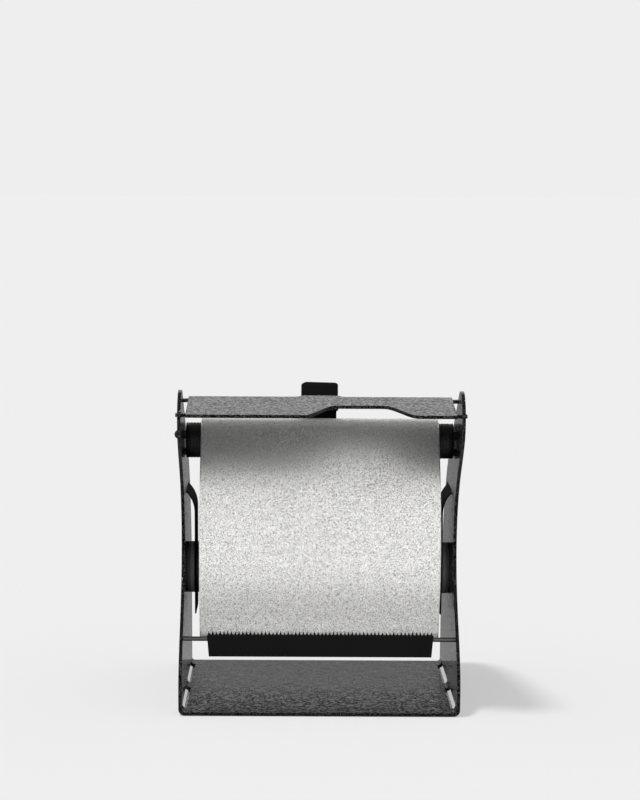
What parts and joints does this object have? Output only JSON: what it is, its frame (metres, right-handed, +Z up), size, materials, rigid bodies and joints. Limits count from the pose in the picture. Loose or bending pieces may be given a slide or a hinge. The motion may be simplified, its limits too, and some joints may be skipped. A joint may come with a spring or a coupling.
{
  "type": "foil dispenser",
  "caption": "Countertop foil dispenser: bent steel stand, sprung hanging arms for a foil roll, guide roller, folding top plate with thumb notch, brake lever and toothed cutter on a rod.",
  "frame": {"origin": "middle of the base's underside", "axes": "+Z up, front of the dispenser towards -Y, +X to the right seen from the front"},
  "size_m": [0.1564, 0.126, 0.1695],
  "materials": {
    "hammered_black": "hammered gloss paint",
    "hammered_black_plate": "hammered gloss paint",
    "roller_tube": "drawn tube",
    "roller_rubber": "fine ribbed rubber",
    "axle_steel": "turned",
    "nut_black": "blackened",
    "cardboard": "spiral-wound board",
    "foil_wound": "embossed foil, wound",
    "foil_sheet": "embossed foil",
    "cutter_black": "semi-gloss black",
    "rod_dark": "blackened",
    "pivot_steel": "drawn",
    "clip_steel": "blackened",
    "collar_plastic": "moulded",
    "spring_steel": "spring wire",
    "lever_black": "black",
    "sleeve_rubber": "dipped rubber",
    "shoe_rubber": "soft rubber",
    "rivet_alloy": "pressed",
    "strap_black": "spring strip, black",
    "strap_black_right": "spring strip, black",
    "plug_black": "moulded",
    "plug_black_right": "moulded",
    "rivet_left": "pressed",
    "rivet_right": "pressed",
    "pad_left": "soft foam rubber",
    "pad_right": "soft foam rubber"
  },
  "bodies": {
    "stand": {"frame": "hammered_black", "roller_axle": "axle_steel", "axle_nuts": "nut_black", "lever_rod": "pivot_steel", "lever_rod_clips": "clip_steel", "lever_collars": "collar_plastic", "lever_spring": "spring_steel", "cutter_rod": "rod_dark", "foil_web": "foil_sheet", "hub_pad_left": "pad_left", "hub_pad_right": "pad_right"},
    "fold_plate": {"fold_plate": "hammered_black_plate"},
    "roller": {"roller_core": "roller_tube", "roller_sleeve": "roller_rubber"},
    "foil_roll": {"foil_core": "cardboard", "foil_roll": "foil_wound"},
    "brake_lever": {"brake_lever": "lever_black", "finger_sleeve": "sleeve_rubber", "brake_shoe": "shoe_rubber", "shoe_rivet": "rivet_alloy"},
    "roll_arm_left": {"roll_arm_left": "strap_black", "hub_left": "plug_black", "hub_rivet_left": "rivet_left"},
    "roll_arm_right": {"roll_arm_right": "strap_black_right", "hub_right": "plug_black_right", "hub_rivet_right": "rivet_right"},
    "cutter": {"cutter_bar": "cutter_black"}
  },
  "joints": [
    {"name": "fold_plate_hinge", "type": "hinge", "parent": "stand", "child": "fold_plate", "pos_m": [0, -0.0574, 0.1578], "axis": [1, 0, 0], "range_deg": [0, 285]},
    {"name": "foil_roll_spin", "type": "hinge", "parent": "stand", "child": "foil_roll", "pos_m": [0, 0.017, 0.0653], "axis": [1, 0, 0], "continuous": true},
    {"name": "roller_spin", "type": "hinge", "parent": "stand", "child": "roller", "pos_m": [0, -0.008, 0.13905], "axis": [1, 0, 0], "continuous": true},
    {"name": "brake_lever_pivot", "type": "hinge", "parent": "stand", "child": "brake_lever", "pos_m": [0, 0.008, 0.131], "axis": [1, 0, 0], "range_deg": [0, 15], "stiffness_Nm_per_rad": 0.06, "springref_deg": -9.74, "deforming": ["lever_spring"]},
    {"name": "roll_arm_left_swing", "type": "hinge", "parent": "stand", "child": "roll_arm_left", "pos_m": [-0.0731, 0.017, 0.1105], "axis": [0, 1, 0], "range_deg": [0, 3.3], "stiffness_Nm_per_rad": 2, "deforming": ["hub_pad_left"]},
    {"name": "roll_arm_right_swing", "type": "hinge", "parent": "stand", "child": "roll_arm_right", "pos_m": [0.0731, 0.017, 0.1105], "axis": [0, -1, 0], "range_deg": [0, 3.3], "stiffness_Nm_per_rad": 2, "deforming": ["hub_pad_right"]},
    {"name": "cutter_swing", "type": "hinge", "parent": "stand", "child": "cutter", "pos_m": [0, -0.0442, 0.0374], "axis": [1, 0, 0], "range_deg": [-20, 25]}
  ],
  "couplings": [
    {"joint": "roller_spin", "follows": "foil_roll_spin", "ratio": -4.2105}
  ]
}
